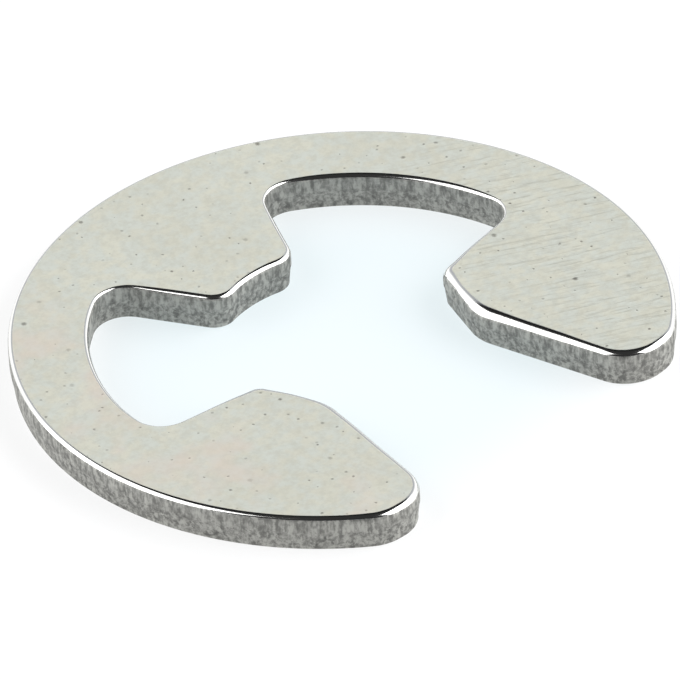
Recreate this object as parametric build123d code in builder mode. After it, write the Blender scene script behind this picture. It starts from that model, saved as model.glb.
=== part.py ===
from build123d import *
import math
import os

os.makedirs("parts", exist_ok=True)

# An E clip blanked from spring steel strip. It lies flat on its burr side, with the rolled side up.
# The origin is the centre of the groove seat, the prong points along +Y and the mouth opens along -Y.
# Sizes are in millimetres and angles in degrees.

# The strip and its blanked edge: rolled at the top, sheared straight below, then torn inwards to the burr
outer_diameter = 13.4
thickness = 0.8
roll_radius = 0.13
torn_height = 0.45
torn_angle = 7.0
burr_break = 0.03

# The seat: three places touch the bottom of the shaft's groove
seat_diameter = 5.0
recess_diameter = 10.14

# The middle prong
prong_tip_width = 2.0
prong_flank_angle = 27.0
prong_tip_radius = 0.5
prong_root_radius = 0.62

# The two lugs beside the mouth
contact_angle = 20.0
seat_face_above = 0.7
seat_face_below = 0.93
shoulder_angle = 6.8
lug_root_radius = 0.62
lug_tip_radius = 0.36
lug_heel_radius = 1.05

# The mouth and the ends of the lugs
mouth_angle = 12.4
end_angle = 3.9
end_flat = 0.12
mouth_end_radius = 0.92
outer_end_radius = 0.96

outer_radius = outer_diameter / 2
seat_radius = seat_diameter / 2
recess_radius = recess_diameter / 2


def polar(radius, angle):
    return Vector(radius * math.cos(math.radians(angle)), radius * math.sin(math.radians(angle)))


def run_to_circle(start, angle, radius):
    # Where a line from the start point, at this angle from +X, leaves a circle about the origin
    way = polar(1, angle)
    along = start.dot(way)
    return start + way * (math.sqrt(along**2 - start.dot(start) + radius**2) - along)


# Corners of the right half, in order from the prong round the recess and the lug to the rim
prong_half_angle = math.degrees(math.asin(prong_tip_width / 2 / seat_radius))
prong_tip = polar(seat_radius, 90 - prong_half_angle)
prong_root = run_to_circle(prong_tip, 90 - prong_flank_angle, recess_radius)

contact = polar(seat_radius, -contact_angle)
lug_tip = contact + polar(seat_face_above, 90 - contact_angle)
lug_heel = contact - polar(seat_face_below, 90 - contact_angle)
lug_root = run_to_circle(lug_tip, shoulder_angle, recess_radius)

# The mouth wall runs down from the heel, and the rim narrows the lug from the other side.
# The lug ends where what is left between them just holds both end radii and the flat.
# Across and down are measured along and square to the end line, from the origin.
spread = math.tan(math.radians(mouth_angle - end_angle))
heel_across = lug_heel.dot(polar(1, end_angle))
heel_down = lug_heel.dot(polar(1, end_angle - 90))
turn_length = mouth_end_radius * math.tan(math.radians(90 - mouth_angle + end_angle) / 2)
flat_end = heel_across - heel_down * spread + turn_length + end_flat
lean = outer_end_radius - flat_end * spread
reach = (outer_radius - outer_end_radius) ** 2 - flat_end**2 - outer_end_radius**2
end_down = (lean + math.sqrt(lean**2 + (1 + spread**2) * reach)) / (1 + spread**2)
mouth_end = lug_heel + polar((end_down - heel_down) * math.hypot(1, spread), mouth_angle - 90)
outer_end = run_to_circle(mouth_end, end_angle, outer_radius)


def angle_of(point):
    return math.degrees(math.atan2(point.Y, point.X))


with BuildPart() as e_clip:
    with BuildSketch(Plane.XY.offset(torn_height)) as blank:
        with BuildLine():
            # Prong tip, which bears on the groove
            CenterArc((0, 0), seat_radius, 90, -prong_half_angle)
            Line(prong_tip, prong_root)
            # Back wall of the recess, concentric with the rim so that the bow has an even width
            CenterArc((0, 0), recess_radius, angle_of(prong_root), angle_of(lug_root) - angle_of(prong_root))
            Line(lug_root, lug_tip)
            Line(lug_tip, lug_heel)
            Line(lug_heel, mouth_end)
            Line(mouth_end, outer_end)
            CenterArc((0, 0), outer_radius, angle_of(outer_end), 90 - angle_of(outer_end))
            Line((0, outer_radius), (0, seat_radius))
        make_face()
        # Each corner of the blank runs into the next edge by a tangent arc of its own radius
        corners = (
            (prong_tip, prong_tip_radius),
            (prong_root, prong_root_radius),
            (lug_root, lug_root_radius),
            (lug_tip, lug_tip_radius),
            (lug_heel, lug_heel_radius),
            (mouth_end, mouth_end_radius),
            (outer_end, outer_end_radius),
        )
        for corner, radius in corners:
            fillet(blank.vertices().sort_by_distance(corner)[0], radius)
        mirror(about=Plane.YZ)
    # The torn band draws in from the full outline towards the burr
    extrude(amount=-torn_height)
    draft(e_clip.faces().filter_by(Axis.Z, reverse=True), Plane.XY.offset(torn_height), -torn_angle)
    # The sheared band above it keeps the full outline
    extrude(blank.sketch, amount=thickness - torn_height)
    # The punch draws the upper edge down all round and leaves the lower edge sharp, broken by tumbling
    fillet(e_clip.faces().sort_by(Axis.Z)[-1].edges(), roll_radius)
    chamfer(e_clip.faces().sort_by(Axis.Z)[0].edges(), burr_break)

e_clip.part.label = "e_clip"
export_step(e_clip.part, "parts/e_clip.step")
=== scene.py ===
import math

import bpy
from mathutils import Matrix, Vector


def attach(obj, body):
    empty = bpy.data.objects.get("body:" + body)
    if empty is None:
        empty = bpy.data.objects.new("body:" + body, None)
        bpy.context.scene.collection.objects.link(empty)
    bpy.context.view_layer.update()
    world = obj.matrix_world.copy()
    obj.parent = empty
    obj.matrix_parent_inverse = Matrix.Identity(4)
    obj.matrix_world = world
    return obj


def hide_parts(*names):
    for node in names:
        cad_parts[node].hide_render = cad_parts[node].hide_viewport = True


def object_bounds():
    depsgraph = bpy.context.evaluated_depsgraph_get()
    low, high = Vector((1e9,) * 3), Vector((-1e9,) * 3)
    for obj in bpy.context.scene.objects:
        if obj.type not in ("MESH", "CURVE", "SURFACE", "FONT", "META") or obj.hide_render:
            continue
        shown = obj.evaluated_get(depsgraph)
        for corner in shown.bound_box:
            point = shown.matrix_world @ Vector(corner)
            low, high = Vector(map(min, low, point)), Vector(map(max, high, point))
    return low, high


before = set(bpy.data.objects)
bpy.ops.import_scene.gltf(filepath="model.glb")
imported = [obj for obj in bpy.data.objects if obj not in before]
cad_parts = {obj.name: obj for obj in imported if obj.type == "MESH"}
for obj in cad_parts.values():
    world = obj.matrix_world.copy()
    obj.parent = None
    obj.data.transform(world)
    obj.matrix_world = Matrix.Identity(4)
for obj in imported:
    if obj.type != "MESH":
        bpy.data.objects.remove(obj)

bl_info = {
    "name": "Spring steel E clip",
    "version": (1, 0, 0),
    "blender": (4, 5, 0),
    "location": "3D View > Sidebar > Clip",
    "description": "Builds a blanked spring steel E clip with rolled edges and torn sides, and its studio",
    "category": "Add Mesh",
}

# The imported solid's box, kept from straight after the load
CAD_LOW, CAD_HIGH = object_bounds()
MM = 0.001
RIM = (CAD_HIGH.x - CAD_LOW.x) / 2 / MM
THICKNESS = (CAD_HIGH.z - CAD_LOW.z) / MM
# Heights and lengths nearer than this, in millimetres, count as the same
NEAR = 0.001
QUARTER = math.pi / 2


# ---------------------------------------------------------------- sizes and colours


def millimetres(name, default, description):
    """A size in millimetres, the unit that the clip is drawn in."""
    return bpy.props.FloatProperty(name=name, description=description, default=default, min=0.001)


def degrees(name, default, description):
    return bpy.props.FloatProperty(
        name=name, description=description, default=math.radians(default), subtype="ANGLE", unit="ROTATION"
    )


def colour(name, default, description):
    return bpy.props.FloatVectorProperty(
        name=name, description=description, default=default, size=3, min=0, max=1, subtype="COLOR"
    )


def share(name, default, description):
    return bpy.props.FloatProperty(
        name=name, description=description, default=default, min=0, max=1, subtype="FACTOR"
    )


class ClipSizes(bpy.types.PropertyGroup):
    """Sizes of the blanked clip, in millimetres."""

    rim_radius: millimetres("Rim radius", RIM, "Radius of the round outer edge")
    thickness: millimetres("Thickness", THICKNESS, "Thickness of the strip")
    seat_radius: millimetres("Seat radius", 2.5, "Radius of the groove that the clip closes on")
    recess_radius: millimetres("Recess radius", 5.07, "Radius of the back wall of both recesses")
    prong_width: millimetres("Prong width", 2.0, "Width across the end of the middle prong")
    prong_flank: degrees("Prong flank", 27.0, "Angle of each side of the prong from the line of symmetry")
    prong_tip_turn: millimetres("Prong tip radius", 0.5, "Radius of the prong's corners")
    prong_root_turn: millimetres("Prong root radius", 0.62, "Radius where the prong meets the recess")
    contact_angle: degrees("Contact angle", 20.0, "Where each lug touches the groove, below the middle")
    seat_above: millimetres("Seat face above", 0.7, "Length of the lug's seat face above its contact")
    seat_below: millimetres("Seat face below", 0.93, "Length of the lug's seat face below its contact")
    shoulder_angle: degrees("Shoulder angle", 6.8, "Rise of the lug's shoulder towards the rim")
    lug_root_turn: millimetres("Lug root radius", 0.62, "Radius where the lug meets the recess")
    lug_tip_turn: millimetres("Lug tip radius", 0.36, "Radius of the lug's upper inner corner")
    lug_heel_turn: millimetres("Lug heel radius", 1.05, "Radius of the lug's lower inner corner")
    mouth_angle: degrees("Mouth angle", 12.4, "How far each wall of the mouth opens outwards")
    end_angle: degrees("End angle", 3.9, "Slope of the lug's end")
    end_flat: millimetres("End flat", 0.12, "Flat left between the two corners of a lug's end")
    mouth_end_turn: millimetres("Mouth end radius", 0.92, "Radius of the corner between mouth and end")
    outer_end_turn: millimetres("Outer end radius", 0.96, "Radius of the corner between end and rim")
    torn_height: millimetres("Torn height", 0.45, "Height of the torn band above the burr side")
    torn_angle: degrees("Torn angle", 7.0, "How far the torn band draws in")
    torn_relief: millimetres("Torn relief", 0.022, "Depth of the torn band's hollows")
    seam_wave: millimetres("Seam wave", 0.07, "How far the line between sheared and torn metal wanders")
    widest_roll: millimetres("Widest roll", 0.26, "Width of the rolled edge on the lugs' inner corners")
    rim_roll: share("Rim roll", 0.42, "Roll of the rim, as a share of the widest")
    inner_roll: share("Inner roll", 0.42, "Roll of the recesses and the prong, as a share of the widest")
    mouth_roll: share("Mouth roll", 0.74, "Roll of the mouth's walls, as a share of the widest")
    end_roll: share("End roll", 0.58, "Roll of the lugs' ends, as a share of the widest")
    burr_break: millimetres("Burr break", 0.03, "Width of the tumbled lower edge")
    step: millimetres("Step", 0.06, "Length of one edge along the outline")


class ClipFinish(bpy.types.PropertyGroup):
    """Colours and gloss of the clip's steel."""

    face: colour("Face", (0.715, 0.715, 0.62), "Satin steel of the flat faces")
    roll: colour("Rolled edge", (0.88, 0.88, 0.86), "Steel burnished by the die")
    # Painted reflection: a dark colour on the band where the flat face turns into the rolled edge, in place of the
    # dark card reflected there
    side: colour("Side", (0.345, 0.345, 0.325), "Sheared and torn steel of the sides")
    painted_dark_reflection: colour("Border", (0.36, 0.37, 0.38), "Dull line where the flat face turns into the rolled edge")
    pit: colour("Pit", (0.13, 0.12, 0.10), "Dark bottom of the small pits")
    stain: colour("Stain", (0.76, 0.66, 0.58), "Faint warm stain on part of the rim")
    face_roughness: share("Face roughness", 0.42, "Roughness of the flat faces")
    roll_roughness: share("Roll roughness", 0.11, "Roughness of the rolled edge")
    side_roughness: share("Side roughness", 0.62, "Roughness of the sides")


class ClipStudio(bpy.types.PropertyGroup):
    """The camera and the studio."""

    view_turn: degrees("View turn", -42.87, "Angle of the camera round the clip from the mouth")
    view_rise: degrees("View rise", 35.49, "Angle of the camera above the floor")
    view_roll: degrees("View roll", -3.78, "Roll of the camera")
    view_distance: bpy.props.FloatProperty(
        name="View distance", description="Distance of the camera", default=0.4608, unit="LENGTH"
    )
    view_lens: bpy.props.FloatProperty(
        name="Lens", description="Focal length in millimetres", default=1218.0
    )
    view_right: bpy.props.FloatProperty(
        name="View right", description="How far the clip lies right of the middle", default=0.000073,
        unit="LENGTH",
    )
    view_down: bpy.props.FloatProperty(
        name="View down", description="How far the clip lies below the middle", default=0.000279, unit="LENGTH"
    )
    floor: colour("Floor", (0.86, 0.87, 0.88), "Pale matt floor")
    # Painted shade: a cool tint painted on the floor inside the clip, in place of the shade and the steel's blue
    # reflection there
    floor_painted_shade: colour("Floor shade", (0.83, 0.93, 0.96), "Cool tint of the floor inside the clip")
    floor_glow: share("Floor glow", 0.72, "How far the floor is lifted to white for the camera and for gloss")
    floor_white: bpy.props.FloatProperty(
        name="Floor white", description="Strength of the white that the floor is lifted to", default=1.07
    )
    world: bpy.props.FloatProperty(
        name="Surroundings", description="Strength of the pale surroundings", default=1.2
    )
    card: bpy.props.FloatProperty(
        name="Dark card", description="Strength of the dark card above and before the clip", default=0.03
    )
    left_light: bpy.props.FloatProperty(
        name="Left light", description="Brightness of the softbox on the left", default=1.8
    )
    right_light: bpy.props.FloatProperty(
        name="Right light", description="Brightness of the softbox on the right", default=3.0
    )


# ---------------------------------------------------------------- outline of the blank


def polar(radius, angle):
    return Vector((radius * math.cos(angle), radius * math.sin(angle)))


def to_circle(start, way, radius):
    """Where a line from the start point, run along its way, leaves a circle about the origin."""
    along = start.dot(way)
    return start + way * (math.sqrt(along**2 - start.dot(start) + radius**2) - along)


class Straight:
    """A straight side of the blank, with the steel on its left."""

    def __init__(self, start, end):
        self.start, self.way = start, (end - start).normalized()
        self.left = Vector((-self.way.y, self.way.x))

    def touch(self, centre):
        return self.start + self.way * (centre - self.start).dot(self.way)


class Round:
    """A side of the blank on a circle about the origin. Sense is 1 where it runs anticlockwise."""

    def __init__(self, radius, sense):
        self.radius, self.sense = radius, sense

    def touch(self, centre):
        return centre.normalized() * self.radius


def turn_centre(before, after, corner, radius, side):
    """Centre of the arc that rounds a corner. Side is 1 where the outline turns left."""
    lines = [s for s in (before, after) if isinstance(s, Straight)]
    rounds = [s for s in (before, after) if isinstance(s, Round)]
    if rounds:
        line, ring = lines[0], rounds[0]
        out = ring.radius - ring.sense * side * radius
        base = line.start + line.left * side * radius
        along = base.dot(line.way)
        root = math.sqrt(along**2 - base.dot(base) + out**2)
        centres = [base + line.way * (s * root - along) for s in (1, -1)]
        return min(centres, key=lambda centre: (centre - corner).length)
    bisector = (after.way - before.way).normalized()
    return corner + bisector * radius / abs(bisector.dot(before.left))


def lug_corners(size):
    """The inner corners of the right lug, upper and lower."""
    contact = polar(size.seat_radius, -size.contact_angle)
    along = polar(1, QUARTER - size.contact_angle)
    return contact + along * size.seat_above, contact - along * size.seat_below


def hollow_corners(size):
    """The prong's tip, then where the recess meets the prong and where it meets the lug."""
    half_prong = math.asin(size.prong_width / 2 / size.seat_radius)
    prong_tip = polar(size.seat_radius, QUARTER - half_prong)
    return (
        prong_tip,
        to_circle(prong_tip, polar(1, QUARTER - size.prong_flank), size.recess_radius),
        to_circle(lug_corners(size)[0], polar(1, size.shoulder_angle), size.recess_radius),
    )


def outline(size):
    """Legs of the right half of the blank, from the end of the prong round to the top of the rim.

    A leg is a point to run straight to, or a centre and an angle to turn about it.
    """
    prong_tip, prong_root, lug_root = hollow_corners(size)
    lug_tip, lug_heel = lug_corners(size)
    spread = math.tan(size.mouth_angle - size.end_angle)
    heel_across = lug_heel.dot(polar(1, size.end_angle))
    heel_down = lug_heel.dot(polar(1, size.end_angle - QUARTER))
    turn_length = size.mouth_end_turn * math.tan((QUARTER - size.mouth_angle + size.end_angle) / 2)
    flat_end = heel_across - heel_down * spread + turn_length + size.end_flat
    lean = size.outer_end_turn - flat_end * spread
    reach = (size.rim_radius - size.outer_end_turn) ** 2 - flat_end**2 - size.outer_end_turn**2
    end_down = (lean + math.sqrt(lean**2 + (1 + spread**2) * reach)) / (1 + spread**2)
    mouth_length = (end_down - heel_down) * math.hypot(1, spread)
    mouth_end = lug_heel + polar(mouth_length, size.mouth_angle - QUARTER)
    outer_end = to_circle(mouth_end, polar(1, size.end_angle), size.rim_radius)
    sides = [
        Round(size.seat_radius, -1),
        Straight(prong_tip, prong_root),
        Round(size.recess_radius, -1),
        Straight(lug_root, lug_tip),
        Straight(lug_tip, lug_heel),
        Straight(lug_heel, mouth_end),
        Straight(mouth_end, outer_end),
        Round(size.rim_radius, 1),
    ]
    corners = [
        (prong_tip, size.prong_tip_turn, 1),
        (prong_root, size.prong_root_turn, -1),
        (lug_root, size.lug_root_turn, -1),
        (lug_tip, size.lug_tip_turn, 1),
        (lug_heel, size.lug_heel_turn, 1),
        (mouth_end, size.mouth_end_turn, 1),
        (outer_end, size.outer_end_turn, 1),
    ]
    here, legs = Vector((0, size.seat_radius)), []
    for before, after, (corner, radius, side) in zip(sides, sides[1:], corners):
        centre = turn_centre(before, after, corner, radius, side)
        legs += run(before, here, before.touch(centre))
        legs.append((centre, swing(centre, before.touch(centre), after.touch(centre), side)))
        here = after.touch(centre)
    return legs + run(sides[-1], here, Vector((0, size.rim_radius)))


def swing(centre, start, end, sense):
    """The angle from one point to another about a centre. Sense is 1 where it turns anticlockwise."""
    angle = (math.atan2(*(end - centre).yx) - math.atan2(*(start - centre).yx)) * sense
    return sense * (angle % (2 * math.pi))


def run(side, start, end):
    """The leg along one side of the blank, between two points on it."""
    if isinstance(side, Straight):
        return [(end, None)]
    centre = Vector((0, 0))
    return [(centre, swing(centre, start, end, side.sense))]


# ---------------------------------------------------------------- modelling helpers


def new_primitive(add, name, **settings):
    """Adds one primitive with nothing else selected, and names it."""
    bpy.ops.object.select_all(action="DESELECT")
    add(**settings)
    piece = bpy.context.object
    piece.name = piece.data.name = name
    return piece


def select_none(mode):
    """Clears the selection and leaves the given kind of selection set."""
    bpy.ops.object.mode_set(mode="EDIT")
    bpy.ops.mesh.select_mode(type=mode)
    bpy.ops.mesh.select_all(action="DESELECT")
    bpy.ops.object.mode_set(mode="OBJECT")


def pick(piece, kind, test):
    """Selects the faces, edges or vertices that pass a test, and goes into edit mode."""
    select_none({"polygons": "FACE", "edges": "EDGE", "vertices": "VERT"}[kind])
    parts = getattr(piece.data, kind)
    for part in parts:
        part.select = bool(test(part))
    if not any(part.select for part in parts):
        raise RuntimeError(f"{piece.name}: nothing to select among its {kind}")
    bpy.ops.object.mode_set(mode="EDIT")


def apply_modifier(piece, kind, **settings):
    """Adds one modifier with its settings and applies it."""
    bpy.context.view_layer.objects.active = piece
    modifier = piece.modifiers.new(kind.title(), kind)
    for name, value in settings.items():
        setattr(modifier, name, value)
    bpy.ops.object.modifier_apply(modifier=modifier.name)


def draw_blank(size):
    """Draws half the outline from one point by extruding and spinning it, mirrors it and fills it."""
    blank = new_primitive(bpy.ops.mesh.primitive_plane_add, "e_clip_blanked", size=1)
    bpy.ops.object.mode_set(mode="EDIT")
    bpy.ops.mesh.select_all(action="SELECT")
    bpy.ops.mesh.merge(type="CENTER")
    bpy.ops.mesh.select_mode(type="VERT")
    bpy.ops.mesh.select_all(action="SELECT")
    here = Vector((0, size.seat_radius))
    bpy.ops.transform.translate(value=(here.x, here.y, size.torn_height))
    for point, angle in outline(size):
        if angle is None:
            steps = max(1, round((point - here).length / size.step))
            stride = (point - here) / steps
            for _ in range(steps):
                bpy.ops.mesh.extrude_region_move(TRANSFORM_OT_translate={"value": (stride.x, stride.y, 0)})
            here = point
        else:
            arm = here - point
            steps = max(4, round(arm.length * abs(angle) / size.step))
            bpy.ops.mesh.spin(
                steps=steps, angle=-angle, center=(point.x, point.y, size.torn_height), axis=(0, 0, 1)
            )
            start = math.atan2(arm.y, arm.x)
            here = point + polar(arm.length, start + angle)
    bpy.ops.object.mode_set(mode="OBJECT")
    apply_modifier(blank, "MIRROR", use_axis=(True, False, False), use_clip=True, merge_threshold=0.005)
    bpy.ops.object.mode_set(mode="EDIT")
    bpy.ops.mesh.select_all(action="SELECT")
    bpy.ops.mesh.edge_face_add()
    bpy.ops.object.mode_set(mode="OBJECT")
    if len(blank.data.polygons) != 1:
        raise RuntimeError("the outline of the blank didn't fill")
    if blank.data.polygons[0].normal.z < 0:
        bpy.ops.object.mode_set(mode="EDIT")
        bpy.ops.mesh.flip_normals()
        bpy.ops.object.mode_set(mode="OBJECT")
    return blank


def roll_share(size, spot):
    """How wide the die rolls the upper edge at this place, as a share of the widest roll."""
    here = Vector((abs(spot.x), spot.y))
    tip, heel = lug_corners(size)
    if (here - tip).length < 0.45 or (here - heel).length < 0.5:
        return 1.0
    if here.length > size.rim_radius - 0.02:
        return size.rim_roll
    if here.y > heel.y:
        hollow = min((here - corner).length for corner in hollow_corners(size)[1:])
        return size.inner_roll * (0.45 if hollow < 0.75 else 1.0)
    return size.mouth_roll if here.y > heel.y - 2.2 else size.end_roll


# How often each edge's roll is averaged with its neighbours'
EASING_ROUNDS = 60


def weigh_edges(piece, size):
    """Gives the upper edge its roll, eased along the outline, and the lower edge its tumbled break."""
    mesh = piece.data
    heights = [v.co.z for v in mesh.vertices]
    top = [e for e in mesh.edges if all(heights[v] > size.thickness - NEAR for v in e.vertices)]
    low = [e for e in mesh.edges if all(heights[v] < NEAR for v in e.vertices)]
    shares, links = {}, {}
    for e in top:
        spot = (mesh.vertices[e.vertices[0]].co + mesh.vertices[e.vertices[1]].co) / 2
        shares[e.index] = roll_share(size, spot)
        for v in e.vertices:
            links.setdefault(v, []).append(e.index)
    beside = {e.index: [n for v in e.vertices for n in links[v] if n != e.index] for e in top}
    for _ in range(EASING_ROUNDS):
        shares = {
            i: (shares[i] + sum(shares[n] for n in beside[i])) / (1 + len(beside[i])) for i in shares
        }
    shares.update({e.index: size.burr_break / size.widest_roll for e in low})
    weights = mesh.attributes.new("bevel_weight_edge", "FLOAT", "EDGE")
    for i, value in shares.items():
        weights.data[i].value = value


def push_by_noise(piece, name, test, depth, grain, direction, middle):
    """Moves the vertices that pass a test by a cloudy noise, along their normals or one axis."""
    group = piece.vertex_groups.new(name=name)
    group.add([v.index for v in piece.data.vertices if test(v.co)], 1.0, "REPLACE")
    clouds = bpy.data.textures.new(name, "CLOUDS")
    clouds.noise_scale, clouds.noise_depth = grain, 3
    apply_modifier(
        piece, "DISPLACE", texture=clouds, texture_coords="LOCAL", vertex_group=name, strength=depth,
        mid_level=middle, direction=direction,
    )
    piece.vertex_groups.remove(piece.vertex_groups[name])
    bpy.data.textures.remove(clouds)


# ---------------------------------------------------------------- the clip


# Each nick: its place along the seat face from the contact, its height, its reach and its depth, in millimetres
NICKS = ((0.55, 0.60, 0.075, 0.035), (0.05, 0.50, 0.10, 0.045))


def nick(clip, size, along, height, reach, depth):
    """Presses one small nick into the right lug's seat face."""
    inwards = polar(1, -size.contact_angle)
    spot = inwards * size.seat_radius + polar(along, QUARTER - size.contact_angle)
    middle = Vector((spot.x, spot.y, height))
    pick(clip, "vertices", lambda v: (v.co - middle).length < reach)
    bpy.ops.transform.translate(value=(inwards.x * depth, inwards.y * depth, 0))
    bpy.ops.object.mode_set(mode="OBJECT")


class OBJECT_OT_blank_clip(bpy.types.Operator):
    """Blanks the clip, rolls its upper edge and tears its sides"""

    bl_idname = "object.blank_clip"
    bl_label = "Clip"

    def execute(self, context):
        size = context.scene.clip_sizes
        clip = draw_blank(size)
        # Sheared band: the full outline, straight up
        pick(clip, "polygons", lambda f: True)
        bpy.ops.mesh.extrude_region_move(
            TRANSFORM_OT_translate={"value": (0, 0, size.thickness - size.torn_height)}
        )
        bpy.ops.object.mode_set(mode="OBJECT")
        # Torn band: the lower face draws in as it goes down
        pick(clip, "polygons", lambda f: abs(f.normal.z) > 0.9 and f.center.z < size.torn_height + NEAR)
        bpy.ops.mesh.inset(
            thickness=size.torn_height * math.tan(size.torn_angle), depth=size.torn_height,
            use_even_offset=True,
        )
        bpy.ops.object.mode_set(mode="OBJECT")
        # Hollows in the torn band, and a seam that wanders above it
        heights = [v.co.z for v in clip.data.vertices]
        pick(clip, "edges", lambda e: sum(heights[v] < NEAR for v in e.vertices) == 1)
        bpy.ops.mesh.subdivide(number_cuts=6)
        bpy.ops.object.mode_set(mode="OBJECT")
        push_by_noise(
            clip, "torn", lambda v: 0.01 < v.z < size.torn_height - 0.01, depth=size.torn_relief, grain=0.09,
            direction="NORMAL", middle=1.0,
        )
        push_by_noise(
            clip, "seam", lambda v: abs(v.z - size.torn_height) < NEAR, depth=size.seam_wave, grain=0.35,
            direction="Z", middle=0.5,
        )
        weigh_edges(clip, size)
        apply_modifier(
            clip, "BEVEL", width=size.widest_roll, segments=8, limit_method="WEIGHT", offset_type="OFFSET",
            use_clamp_overlap=False, loop_slide=False,
        )
        for row in NICKS:
            nick(clip, size, *row)
        # From millimetres to metres
        bpy.ops.object.mode_set(mode="EDIT")
        bpy.ops.mesh.select_all(action="SELECT")
        bpy.ops.transform.resize(value=(MM, MM, MM), center_override=(0, 0, 0))
        bpy.ops.object.mode_set(mode="OBJECT")
        bpy.ops.object.shade_smooth_by_angle(angle=math.radians(35))
        apply_modifier(clip, "WEIGHTED_NORMAL", mode="FACE_AREA", weight=100, keep_sharp=True)
        clip.data.materials.append(spring_steel(context.scene.clip_finish, size))
        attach(clip, "root")
        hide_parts("e_clip")
        return {"FINISHED"}


# ---------------------------------------------------------------- materials


class Number:
    """A number socket that takes part in sums as a number does."""

    def __init__(self, nodes, socket):
        self.nodes, self.socket = nodes, socket

    def joined(self, operation, first, second):
        return self.nodes.number("ShaderNodeMath", 0, {"operation": operation}, {0: first, 1: second})

    def __add__(self, other):
        return self.joined("ADD", self, other)

    def __sub__(self, other):
        return self.joined("SUBTRACT", self, other)

    def __rsub__(self, other):
        return self.joined("SUBTRACT", other, self)

    def __mul__(self, other):
        return self.joined("MULTIPLY", self, other)

    def __truediv__(self, other):
        return self.joined("DIVIDE", self, other)

    __radd__ = __add__
    __rmul__ = __mul__


class Nodes:
    """The nodes of one material or world."""

    def __init__(self, owner):
        owner.use_nodes = True
        self.tree = owner.node_tree
        self.tree.nodes.clear()

    def add(self, kind, settings=None, inputs=None):
        """Adds a node, sets its own settings first and then its sockets' values or links."""
        node = self.tree.nodes.new(kind)
        for name, value in (settings or {}).items():
            setattr(node, name, value)
        for name, value in (inputs or {}).items():
            socket = node.inputs[name]
            if isinstance(value, Number):
                value = value.socket
            if isinstance(value, bpy.types.NodeSocket):
                self.tree.links.new(value, socket)
            elif isinstance(value, (tuple, list)) and len(value) == 3 and socket.type == "RGBA":
                socket.default_value = (*value, 1)
            else:
                socket.default_value = value
        return node

    def number(self, kind, output, settings=None, inputs=None):
        return Number(self, self.add(kind, settings, inputs).outputs[output])

    def ease(self, value, low, high):
        """0 below low, 1 above high and smooth between."""
        return self.number(
            "ShaderNodeMapRange", "Result", {"interpolation_type": "SMOOTHSTEP"},
            {"Value": value, "From Min": low, "From Max": high},
        )

    def noise(self, place, scale, detail=2.0, roughness=0.5, distortion=0.0):
        return self.number(
            "ShaderNodeTexNoise", "Fac", {"normalize": True},
            {"Vector": place, "Scale": scale, "Detail": detail, "Roughness": roughness, "Distortion": distortion},
        )

    def mapped(self, place, turn=(0, 0, 0), scale=(1, 1, 1), move=(0, 0, 0)):
        return self.add(
            "ShaderNodeMapping", {"vector_type": "POINT"},
            {"Vector": place, "Rotation": turn, "Scale": scale, "Location": move},
        ).outputs["Vector"]

    def blend(self, amount, first, second):
        """The first colour where the amount is 0 and the second where it is 1."""
        node = self.add("ShaderNodeMix", {"data_type": "RGBA", "blend_type": "MIX", "clamp_result": True})
        for index, value in ((0, amount), (6, first), (7, second)):
            socket = node.inputs[index]
            if isinstance(value, Number):
                value = value.socket
            if isinstance(value, bpy.types.NodeSocket):
                self.tree.links.new(value, socket)
            elif isinstance(value, tuple):
                socket.default_value = (*value, 1)
            else:
                socket.default_value = value
        return node.outputs[2]


# Each layer of pits: cells in a millimetre, share of cells left bare, radius of its smallest and widest pit
SPECKLES = ((3.1, 0.70, 0.016, 0.036), (1.2, 0.60, 0.03, 0.065))


def shade(tint, amount, cooler=0.0):
    """A colour made lighter or darker. A negative cooler takes red away and adds blue."""
    red, green, blue = (c * amount for c in tint)
    return red * (1 + cooler), green, min(1, blue * (1 - 1.5 * cooler))


def speckle(nodes, place, cells, bare, smallest, widest):
    """Small round pits strewn at random over the flat faces."""
    spots = nodes.add(
        "ShaderNodeTexVoronoi", {"feature": "F1", "voronoi_dimensions": "2D"},
        {"Vector": place, "Scale": cells, "Randomness": 1.0},
    )
    chance = nodes.number("ShaderNodeSeparateColor", "Red", inputs={"Color": spots.outputs["Color"]})
    depth = nodes.number("ShaderNodeSeparateColor", "Green", inputs={"Color": spots.outputs["Color"]})
    reach = nodes.ease(chance, bare, 1.0) * ((widest - smallest) * cells) + smallest * cells
    spot = 1 - nodes.ease(Number(nodes, spots.outputs["Distance"]) / reach, 0.25, 1.25)
    return spot * nodes.ease(chance, bare, bare + 0.02) * (depth * 0.7 + 0.3)


def maximum(values):
    largest = values[0]
    for value in values[1:]:
        largest = largest.joined("MAXIMUM", largest, value)
    return largest


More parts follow.
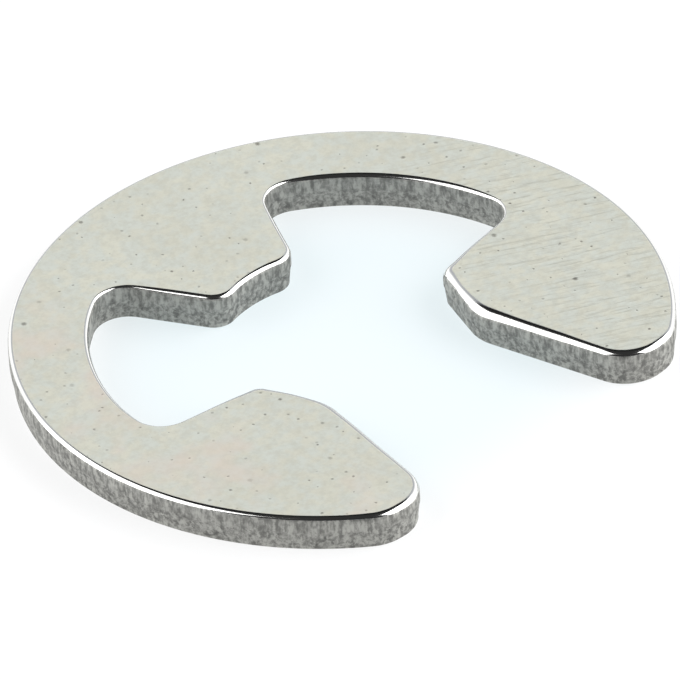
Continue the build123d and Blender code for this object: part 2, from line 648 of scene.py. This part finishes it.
def spring_steel(finish, size):
    """Satin faces with pits and brushing, a burnished rolled edge with a painted dark reflection line where it meets
    the face, and granular sheared and torn sides.
    """
    material = bpy.data.materials.new("spring_steel_finish")
    nodes = Nodes(material)
    place = nodes.add("ShaderNodeTexCoord").outputs["Object"]
    place = nodes.mapped(place, scale=(1 / MM, 1 / MM, 1 / MM))
    split = nodes.add("ShaderNodeSeparateXYZ", inputs={"Vector": place})
    x, y, z = (Number(nodes, split.outputs[i]) for i in range(3))
    normal = nodes.add("ShaderNodeNewGeometry").outputs["Normal"]
    upright = nodes.number("ShaderNodeMath", 0, {"operation": "ABSOLUTE"}, {
        0: nodes.add("ShaderNodeSeparateXYZ", inputs={"Vector": normal}).outputs["Z"]
    })
    face = nodes.ease(upright, 0.985, 0.998)
    side = 1 - nodes.ease(upright, 0.36, 0.52)

    # Flat faces: broad warm and cool clouds, fine grain, brushing that is strongest on one lug, and dark pits
    clouds = nodes.noise(place, 0.6, 3.0, 0.55)
    patches = nodes.noise(nodes.mapped(place, move=(7, 3, 1)), 3.2, 2.0, 0.5)
    grain = nodes.noise(place, 7.0, 4.0, 0.7)
    tint = nodes.blend(nodes.ease(clouds, 0.3, 0.7), shade(finish.face, 0.96), shade(finish.face, 1.03))
    tint = nodes.blend(nodes.ease(patches, 0.35, 0.65) * 0.8, tint, shade(finish.face, 1.0, -0.05))
    tint = nodes.blend(nodes.ease(grain, 0.36, 0.70) * 0.45, tint, shade(finish.face, 0.80))
    turned = nodes.mapped(place, turn=(0, 0, math.radians(29)))
    streaks = nodes.noise(nodes.mapped(turned, scale=(1.3, 11.0, 1.0)), 1.0, 3.0, 0.6, 0.15)
    lug = nodes.ease(x, 1.8, 3.6) * (1 - nodes.ease(y, 1.8, 3.8))
    brushed = face * (lug * 0.88 + 0.12) * nodes.ease(streaks, 0.48, 0.70)
    tint = nodes.blend(brushed * 0.42, tint, shade(finish.face, 0.70))
    wobble = nodes.add("ShaderNodeTexNoise", None, {"Vector": place, "Scale": 14.0, "Detail": 2.0})
    uneven = nodes.add("ShaderNodeVectorMath", {"operation": "MULTIPLY_ADD"}, {
        0: wobble.outputs["Color"], 1: (0.05, 0.05, 0.0), 2: place,
    }).outputs["Vector"]
    pit = face * maximum([speckle(nodes, uneven, *row) for row in SPECKLES])
    tint = nodes.blend(pit * 0.75, tint, tuple(finish.pit))
    stain = nodes.ease(nodes.noise(place, 0.9, 2.0), 0.45, 0.7) * (1 - nodes.ease(x, -4.6, -2.6)) * 0.5
    tint = nodes.blend(stain * face, tint, tuple(finish.stain))

    # Sides: upright streaks from the die on the sheared band, coarse crumbs and dark hollows on the torn band
    torn = 1 - nodes.ease(z, size.torn_height - 0.10, size.torn_height + 0.08)
    streak = nodes.noise(nodes.mapped(place, scale=(1.0, 1.0, 0.3)), 10.0, 3.0, 0.6)
    crumbs = nodes.noise(place, 9.0, 4.0, 0.7, 0.4)
    hollows = nodes.ease(nodes.noise(nodes.mapped(place, move=(2, 5, 8)), 6.0, 3.0, 0.65), 0.52, 0.68)
    hollows = hollows * (torn * 0.7 + 0.3)
    grit = streak * (0.55 - 0.3 * torn) + crumbs * (0.45 + 0.3 * torn)
    wall = nodes.blend(nodes.ease(grit, 0.37, 0.63), shade(finish.side, 0.55), shade(finish.side, 1.45))
    wall = nodes.blend(hollows * 0.6, wall, shade(finish.side, 0.32))
    # Painted reflection: the top of the rolled edge, next to the flat face, takes the dark line colour in place of a
    # reflected dark card
    rolled = nodes.blend(nodes.ease(upright, 0.88, 0.96), tuple(finish.roll), tuple(finish.painted_dark_reflection))
    colours = nodes.blend(side, nodes.blend(face, rolled, tint), wall)

    rough = face * (finish.face_roughness - finish.roll_roughness) + finish.roll_roughness
    rough = rough * (1 - side) + side * (nodes.ease(crumbs, 0.3, 0.7) * 0.2 + (finish.side_roughness - 0.1))
    rough = rough + face * (grain - 0.5) * 0.12
    height = face * (grain * 0.25 + clouds * 0.2 - pit * 1.6 - brushed * 0.5)
    height = height + side * (grit * 3.0 - hollows * 3.0)
    bump = nodes.add("ShaderNodeBump", None, {"Strength": 0.55, "Distance": 0.000006, "Height": height})
    shader = nodes.add(
        "ShaderNodeBsdfPrincipled", None,
        {"Base Color": colours, "Metallic": 1.0, "Roughness": rough, "Normal": bump.outputs["Normal"]},
    )
    nodes.add("ShaderNodeOutputMaterial", None, {"Surface": shader.outputs["BSDF"]})
    return material


def floor_paint(studio):
    """Matt pale floor with the clip's shadow, lifted to white for the camera and for gloss, with a painted cool
    shade and reflection inside the clip.
    """
    material = bpy.data.materials.new("studio_floor")
    nodes = Nodes(material)
    matt = nodes.add("ShaderNodeBsdfDiffuse", None, {"Color": tuple(studio.floor)})
    place = nodes.add("ShaderNodeTexCoord").outputs["Object"]
    away = nodes.number("ShaderNodeVectorMath", "Value", {"operation": "LENGTH"}, {0: place})
    # Painted shade and reflection: the floor's white turns cool within about 3.4 to 6.6 mm of the middle
    inside = 1 - nodes.ease(away, 0.0034, 0.0066)
    tint = nodes.blend(inside, (1.0, 1.0, 1.0), tuple(studio.floor_painted_shade))
    white = nodes.add("ShaderNodeEmission", None, {"Color": tint, "Strength": studio.floor_white})
    path = nodes.add("ShaderNodeLightPath")
    seen = nodes.number("ShaderNodeMath", 0, {"operation": "MAXIMUM"}, {
        0: path.outputs["Is Camera Ray"], 1: path.outputs["Is Glossy Ray"]
    })
    both = nodes.add("ShaderNodeMixShader", None, {
        0: seen * studio.floor_glow, 1: matt.outputs[0], 2: white.outputs[0]
    })
    nodes.add("ShaderNodeOutputMaterial", None, {"Surface": both.outputs[0]})
    return material


# ---------------------------------------------------------------- the stage


def view_axes(studio):
    """The way back to the camera, and its right and up ways, for the view's turn, rise and roll."""
    turn, rise, roll = studio.view_turn, studio.view_rise, studio.view_roll
    back = Vector((math.sin(turn) * math.cos(rise), -math.cos(turn) * math.cos(rise), math.sin(rise)))
    level = Vector((math.cos(turn), math.sin(turn), 0))
    over = back.cross(level)
    right = level * math.cos(roll) + over * math.sin(roll)
    return back, right, back.cross(right)


# Each softbox: its angle above the floor, its distance from the clip, its width and its height, in metres
SOFTBOX = (math.radians(30), 0.16, 0.21, 0.185)


def softbox(name, turn, rise, distance, width, height, brightness):
    """A lamp that faces the clip. Brightness is what it looks like in a mirror, where 1 is white."""
    way = Vector((math.sin(turn) * math.cos(rise), -math.cos(turn) * math.cos(rise), math.sin(rise)))
    lamp = bpy.data.lights.new(name, "AREA")
    lamp.shape, lamp.size, lamp.size_y = "RECTANGLE", width, height
    lamp.energy = brightness * math.pi * width * height
    holder = bpy.data.objects.new(name, lamp)
    bpy.context.scene.collection.objects.link(holder)
    holder.location = way * distance
    holder.rotation_euler = way.to_track_quat("Z", "Y").to_euler()
    holder.visible_camera = False


class SCENE_OT_clip_stage(bpy.types.Operator):
    """Adds the floor, the soft lights, the dark card and the camera"""

    bl_idname = "scene.clip_stage"
    bl_label = "Stage"

    def execute(self, context):
        scene, studio = context.scene, context.scene.clip_studio
        scene.view_settings.view_transform = "Standard"
        below = (0, 0, CAD_LOW.z - 0.00001)
        floor = new_primitive(bpy.ops.mesh.primitive_plane_add, "floor", size=3.0, location=below)
        floor.data.materials.append(floor_paint(studio))

        turn, beside = studio.view_turn, math.radians(84)
        softbox("left_softbox", turn - beside, *SOFTBOX, studio.left_light)
        softbox("right_softbox", turn + beside, *SOFTBOX, studio.right_light)

        # Pale surroundings, with a dark card overhead and before the clip
        world = bpy.data.worlds.new("studio_world")
        scene.world = world
        nodes = Nodes(world)
        way = nodes.add("ShaderNodeTexCoord").outputs["Generated"]
        rise = Number(nodes, nodes.add("ShaderNodeSeparateXYZ", inputs={"Vector": way}).outputs["Z"])
        toward = nodes.number("ShaderNodeVectorMath", "Value", {"operation": "DOT_PRODUCT"}, {
            0: way, 1: (math.sin(turn), -math.cos(turn), 0.0)
        })
        card = rise.joined("MAXIMUM", nodes.ease(rise, 0.68, 0.78), nodes.ease(toward, 0.45, 0.65))
        path = nodes.add("ShaderNodeLightPath")
        strength = rise.joined(
            "MAXIMUM", path.outputs["Is Camera Ray"], (1 - card) * (studio.world - studio.card) + studio.card
        )
        sky = nodes.add("ShaderNodeBackground", None, {"Color": (1.0, 1.0, 1.0), "Strength": strength})
        nodes.add("ShaderNodeOutputWorld", None, {"Surface": sky.outputs[0]})

        back, right, up = view_axes(studio)
        camera = bpy.data.cameras.new("camera")
        camera.lens, camera.sensor_width = studio.view_lens, 36.0
        camera.clip_start, camera.clip_end = 0.01, 5.0
        holder = bpy.data.objects.new("camera", camera)
        scene.collection.objects.link(holder)
        holder.location = back * studio.view_distance - right * studio.view_right + up * studio.view_down
        holder.rotation_mode = "QUATERNION"
        holder.rotation_quaternion = Matrix((right, up, back)).transposed().to_quaternion()
        scene.camera = holder
        return {"FINISHED"}


class VIEW3D_PT_clip(bpy.types.Panel):
    """Lists the clip's sizes, finish and stage"""

    bl_label = "E clip"
    bl_idname = "VIEW3D_PT_clip"
    bl_space_type = "VIEW_3D"
    bl_region_type = "UI"
    bl_category = "Clip"

    def draw(self, context):
        for group in (context.scene.clip_sizes, context.scene.clip_finish, context.scene.clip_studio):
            box = self.layout.box()
            for name in group.bl_rna.properties.keys():
                if name not in ("rna_type", "name"):
                    box.prop(group, name)
        self.layout.operator(OBJECT_OT_blank_clip.bl_idname)
        self.layout.operator(SCENE_OT_clip_stage.bl_idname)


CLASSES = (ClipSizes, ClipFinish, ClipStudio, OBJECT_OT_blank_clip, SCENE_OT_clip_stage, VIEW3D_PT_clip)


def register():
    for item in CLASSES:
        bpy.utils.register_class(item)
    bpy.types.Scene.clip_sizes = bpy.props.PointerProperty(type=ClipSizes)
    bpy.types.Scene.clip_finish = bpy.props.PointerProperty(type=ClipFinish)
    bpy.types.Scene.clip_studio = bpy.props.PointerProperty(type=ClipStudio)


def unregister():
    del bpy.types.Scene.clip_studio, bpy.types.Scene.clip_finish, bpy.types.Scene.clip_sizes
    for item in reversed(CLASSES):
        bpy.utils.unregister_class(item)


def main():
    register()
    bpy.ops.object.blank_clip()
    bpy.ops.scene.clip_stage()


if __name__ == "__main__":
    main()
